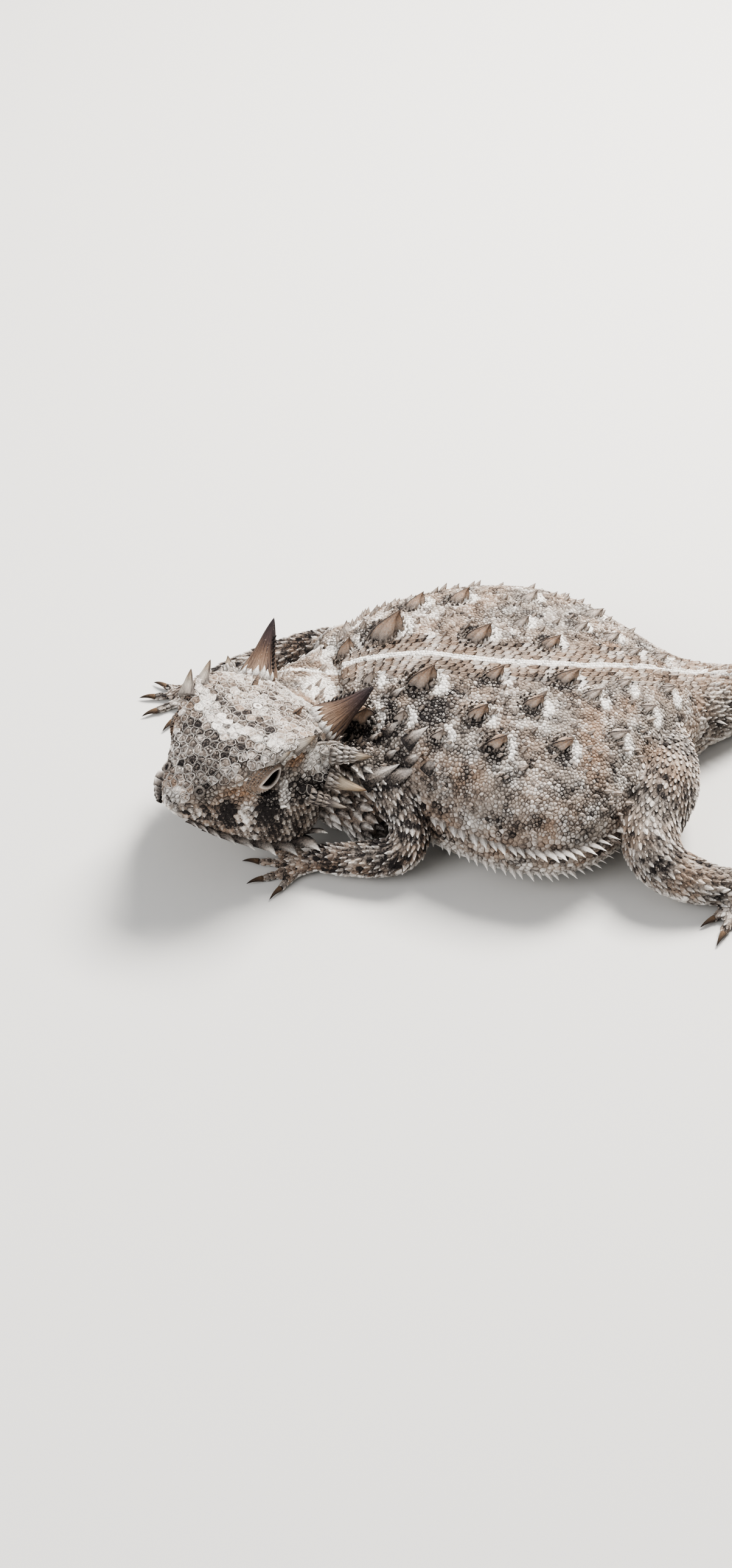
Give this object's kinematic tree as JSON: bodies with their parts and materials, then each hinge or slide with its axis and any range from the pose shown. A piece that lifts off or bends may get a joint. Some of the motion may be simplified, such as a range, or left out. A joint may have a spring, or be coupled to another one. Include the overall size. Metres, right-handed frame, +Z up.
{
  "type": "horned lizard",
  "caption": "Resting horned lizard, life size: flat wide trunk with fringed sides, spiny back, short tail, crown of horns, head turned and lifted, belly and feet flat on the floor",
  "frame": {"origin": "on the floor under the middle of the trunk, on the flat of the belly", "axes": "+X towards the tail along the trunk, -X towards the head, +Y to the animal's right, -Y to its left, +Z up"},
  "size_m": [0.0994, 0.0655, 0.0212],
  "materials": {
    "back_skin": "matte, scaly, pale sand mottled with charcoal",
    "head_skin": "matte, pebbled shields",
    "leg_skin": "matte, keeled scales",
    "horn": "satin brown horn, darker tip",
    "pale_horn": "matte pale horn",
    "eye": "glossy, nearly black"
  },
  "bodies": {
    "root": {"eye_left": "eye", "eye_right": "eye", "foot_left": "leg_skin", "foot_right": "leg_skin", "forearm_left": "leg_skin", "forearm_right": "leg_skin", "hand_left": "leg_skin", "hand_right": "leg_skin", "head": "head_skin", "horn_occipital_left": "horn", "horn_occipital_right": "horn", "horn_temporal_1_left": "pale_horn", "horn_temporal_1_right": "pale_horn", "horn_temporal_2_left": "pale_horn", "horn_temporal_2_right": "pale_horn", "horn_temporal_3_left": "pale_horn", "horn_temporal_3_right": "pale_horn", "neck": "back_skin", "shank_left": "leg_skin", "shank_right": "leg_skin", "tail_base": "back_skin", "tail_tip": "back_skin", "thigh_left": "leg_skin", "thigh_right": "leg_skin", "torso": "back_skin", "upper_arm_left": "leg_skin", "upper_arm_right": "leg_skin"}
  },
  "joints": []
}
